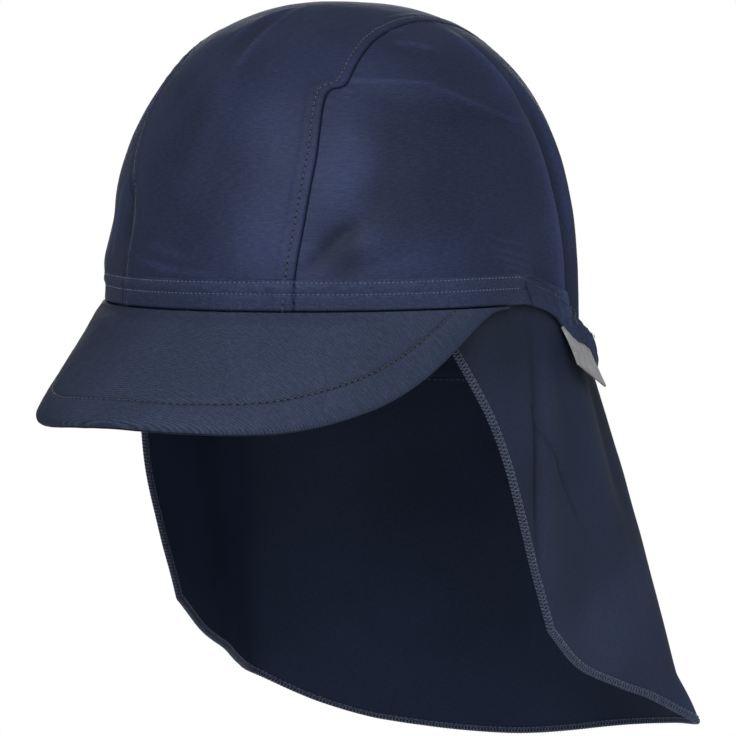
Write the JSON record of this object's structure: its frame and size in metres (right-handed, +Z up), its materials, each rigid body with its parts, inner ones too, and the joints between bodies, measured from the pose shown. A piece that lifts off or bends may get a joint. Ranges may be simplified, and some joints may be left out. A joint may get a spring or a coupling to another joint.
{
  "type": "legionnaire cap",
  "caption": "Child's soft sun cap with a panelled crown, a padded stitched peak and a long neck flap hung from the rim.",
  "frame": {"origin": "inside the crown, in the middle of the head line, where the cap sits on a head", "axes": "+Z up out of the top of the crown, the peak towards -Y, the wearer's left towards +X"},
  "size_m": [0.1711, 0.2365, 0.2495],
  "materials": {
    "crown_knit": "navy warp-knitted swim fabric, faint sheen",
    "band_knit": "navy swim fabric, turned and twin-stitched",
    "peak_knit": "navy swim fabric over a soft pad, top-stitched",
    "flap_knit": "navy swim fabric, single layer, overlocked edge",
    "label_tape": "bare silver-grey satin tape"
  },
  "bodies": {
    "root": {"crown_centre_panel": "crown_knit", "crown_side_panel_left": "crown_knit", "crown_side_panel_right": "crown_knit", "front_hem_band": "band_knit", "rear_elastic_casing": "band_knit", "peak": "peak_knit", "neck_flap": "flap_knit", "side_label": "label_tape"}
  },
  "joints": []
}
